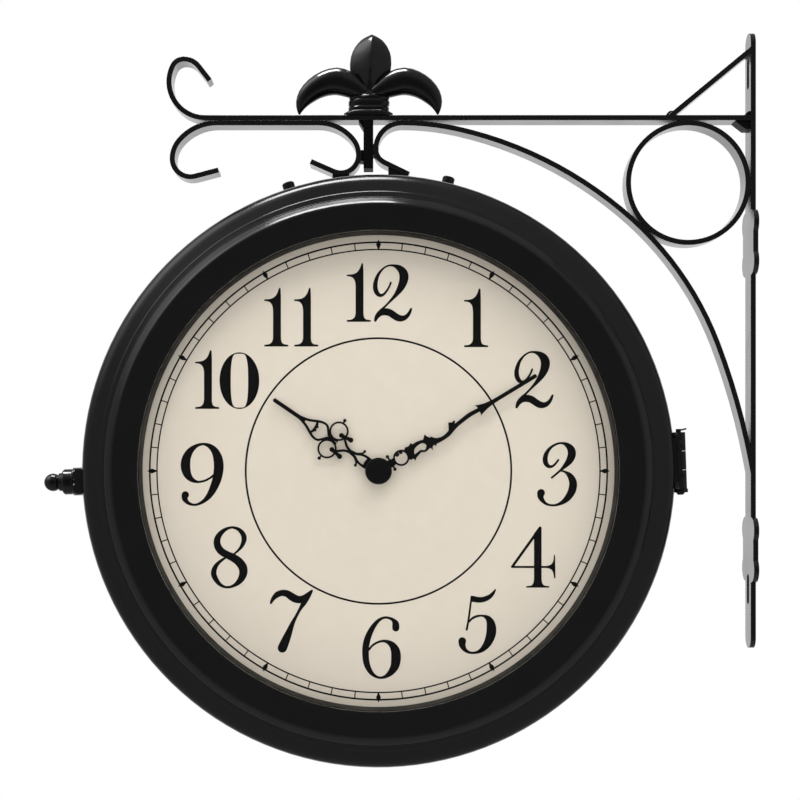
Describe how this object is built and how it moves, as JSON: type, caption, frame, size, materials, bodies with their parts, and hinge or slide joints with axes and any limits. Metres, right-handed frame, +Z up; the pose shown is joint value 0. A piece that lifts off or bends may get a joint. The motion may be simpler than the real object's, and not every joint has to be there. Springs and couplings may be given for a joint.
{
  "type": "double sided wall clock on a bracket",
  "caption": "Round two-faced analogue clock hung from a scrolled flat-bar wall bracket, with a hinged front door, a screw latch and pierced hands.",
  "frame": {"origin": "on the wall face of the strip, midway between its two bolt slots", "axes": "+Z up, +X into the wall, -Y out of the front dial"},
  "size_m": [0.4711, 0.1, 0.4824],
  "materials": {
    "bracket_paint": "gloss black enamel",
    "case_paint": "gloss black enamel",
    "hand_paint": "satin black enamel",
    "dial_enamel": "satin cream enamel with black figures",
    "glass": "clear polished",
    "gasket": "matt",
    "zinc_steel": "satin",
    "turned_brass": "satin",
    "movement_plastic": "matt",
    "set_plastic": "matt",
    "battery_sleeve": "gloss"
  },
  "bodies": {
    "housing": {"wall_strip": "bracket_paint", "top_rail": "bracket_paint", "lower_scroll": "bracket_paint", "arch_brace": "bracket_paint", "corner_ring": "bracket_paint", "diagonal_brace": "bracket_paint", "corner_gusset": "bracket_paint", "hanger_post": "bracket_paint", "weld_beads": "bracket_paint", "fleur_finial": "bracket_paint", "left_foot": "bracket_paint", "right_foot": "bracket_paint", "foot_screws": "zinc_steel", "top_studs": "case_paint", "stud_nuts": "zinc_steel", "case_drum": "case_paint", "hinge_fixed_leaf": "case_paint", "hinge_pin": "case_paint", "hinge_screws": "case_paint", "latch_bush": "case_paint", "bezel_screws": "zinc_steel", "rear_bezel": "case_paint", "rear_gasket": "gasket", "rear_glass": "glass", "rear_spacer": "case_paint", "rear_dial": "dial_enamel", "rear_dial_ring": "zinc_steel", "rear_ring_screws": "zinc_steel", "rear_movement": "movement_plastic", "rear_battery": "battery_sleeve", "rear_fixing_nut": "turned_brass"},
    "door": {"front_bezel": "case_paint", "front_gasket": "gasket", "front_glass": "glass", "front_spacer": "case_paint", "front_dial": "dial_enamel", "front_dial_ring": "zinc_steel", "front_ring_screws": "zinc_steel", "front_movement": "movement_plastic", "front_battery": "battery_sleeve", "front_fixing_nut": "turned_brass", "hinge_door_leaf": "case_paint", "latch_plate": "case_paint", "door_screws": "case_paint"},
    "latch": {"latch_knob": "case_paint"},
    "front_minute": {"front_minute_arbor": "turned_brass", "front_minute_hand": "hand_paint", "front_hand_cap": "hand_paint"},
    "front_hour": {"front_hour_pipe": "turned_brass", "front_hour_hand": "hand_paint"},
    "front_set": {"front_set_wheel": "set_plastic"},
    "rear_minute": {"rear_minute_arbor": "turned_brass", "rear_minute_hand": "hand_paint", "rear_hand_cap": "hand_paint"},
    "rear_hour": {"rear_hour_pipe": "turned_brass", "rear_hour_hand": "hand_paint"},
    "rear_set": {"rear_set_wheel": "set_plastic"}
  },
  "joints": [
    {"name": "door_hinge", "type": "hinge", "parent": "housing", "child": "door", "pos_m": [-0.05142, -0.012, -0.0856], "axis": [-0.0349, 0, 0.9994], "range_deg": [0, 90]},
    {"name": "latch_turn", "type": "hinge", "parent": "housing", "child": "latch", "pos_m": [-0.44078, 0, -0.0992], "axis": [-0.9994, 0, -0.0349], "range_deg": [0, 720]},
    {"name": "front_minute_turn", "type": "hinge", "parent": "door", "child": "front_minute", "pos_m": [-0.249, 0, -0.0925], "axis": [0, 1, 0], "continuous": true},
    {"name": "front_hour_turn", "type": "hinge", "parent": "door", "child": "front_hour", "pos_m": [-0.249, 0, -0.0925], "axis": [0, 1, 0], "continuous": true},
    {"name": "front_set_turn", "type": "hinge", "parent": "door", "child": "front_set", "pos_m": [-0.237, 0, -0.0805], "axis": [0, 1, 0], "continuous": true},
    {"name": "rear_minute_turn", "type": "hinge", "parent": "housing", "child": "rear_minute", "pos_m": [-0.249, 0, -0.0925], "axis": [0, -1, 0], "continuous": true},
    {"name": "rear_hour_turn", "type": "hinge", "parent": "housing", "child": "rear_hour", "pos_m": [-0.249, 0, -0.0925], "axis": [0, -1, 0], "continuous": true},
    {"name": "rear_set_turn", "type": "hinge", "parent": "housing", "child": "rear_set", "pos_m": [-0.261, 0, -0.0805], "axis": [0, -1, 0], "continuous": true}
  ],
  "couplings": [
    {"joint": "front_hour_turn", "follows": "front_minute_turn", "ratio": 0.083333},
    {"joint": "front_set_turn", "follows": "front_minute_turn", "ratio": -1},
    {"joint": "rear_hour_turn", "follows": "rear_minute_turn", "ratio": 0.083333},
    {"joint": "rear_set_turn", "follows": "rear_minute_turn", "ratio": -1}
  ]
}
